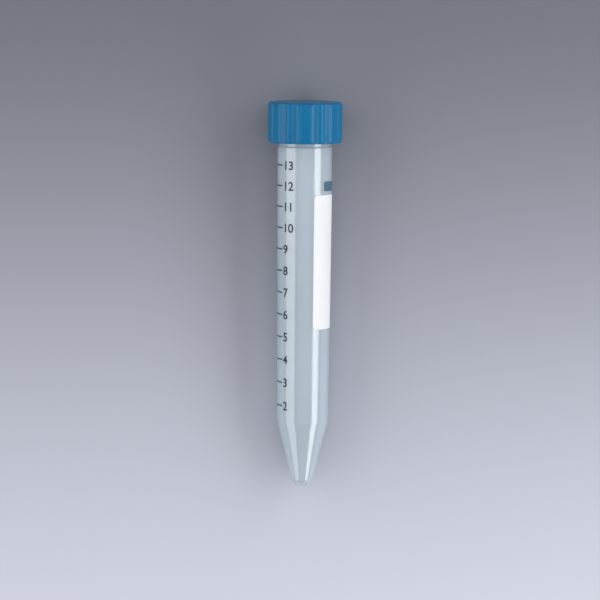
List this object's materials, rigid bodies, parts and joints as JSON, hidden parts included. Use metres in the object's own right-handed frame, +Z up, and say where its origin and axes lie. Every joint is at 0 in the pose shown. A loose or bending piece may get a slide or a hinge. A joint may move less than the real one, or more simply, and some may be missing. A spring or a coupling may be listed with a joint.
{
  "type": "15 ml conical tube",
  "caption": "Capped conical centrifuge tube lying on its side: translucent drafted barrel with a conical tip, printed millilitre lines and a writing field, ribbed blue screw cap with liner.",
  "frame": {"origin": "middle of the footprint, on the surface that the tube lies on", "axes": "+Y from the tip towards the cap, +Z up out of the printed front, +X to the right of that front with the cap uppermost"},
  "size_m": [0.023, 0.1202, 0.0234],
  "materials": {
    "tube_plastic": "clear to slightly milky moulded polypropylene, glossy",
    "cap_plastic": "opaque blue moulded polyethylene, satin gloss",
    "liner_foam": "white closed-cell foam",
    "white_ink": "matte opaque white ink",
    "teal_ink": "matte dark teal ink",
    "dark_ink": "matte blue-black ink"
  },
  "bodies": {
    "tube_body": {"tube": "tube_plastic", "writing_panel": "white_ink", "colour_bar": "teal_ink", "graduation_lines": "dark_ink"},
    "liner_body": {"sealing_liner": "liner_foam"},
    "cap_body": {"screw_cap": "cap_plastic"}
  },
  "joints": [
    {"name": "cap_lift", "type": "slide", "parent": "tube_body", "child": "liner_body", "axis": [0, 0.9992, 0.0405], "range_m": [0, 0.0121]},
    {"name": "cap_turn", "type": "hinge", "parent": "liner_body", "child": "cap_body", "pos_m": [0, 0.0472, 0.01145], "axis": [0, 0.9992, 0.0405], "range_deg": [0, 1440]}
  ],
  "couplings": [
    {"joint": "cap_lift", "follows": "cap_turn", "m_per_rad": 0.00047746}
  ]
}
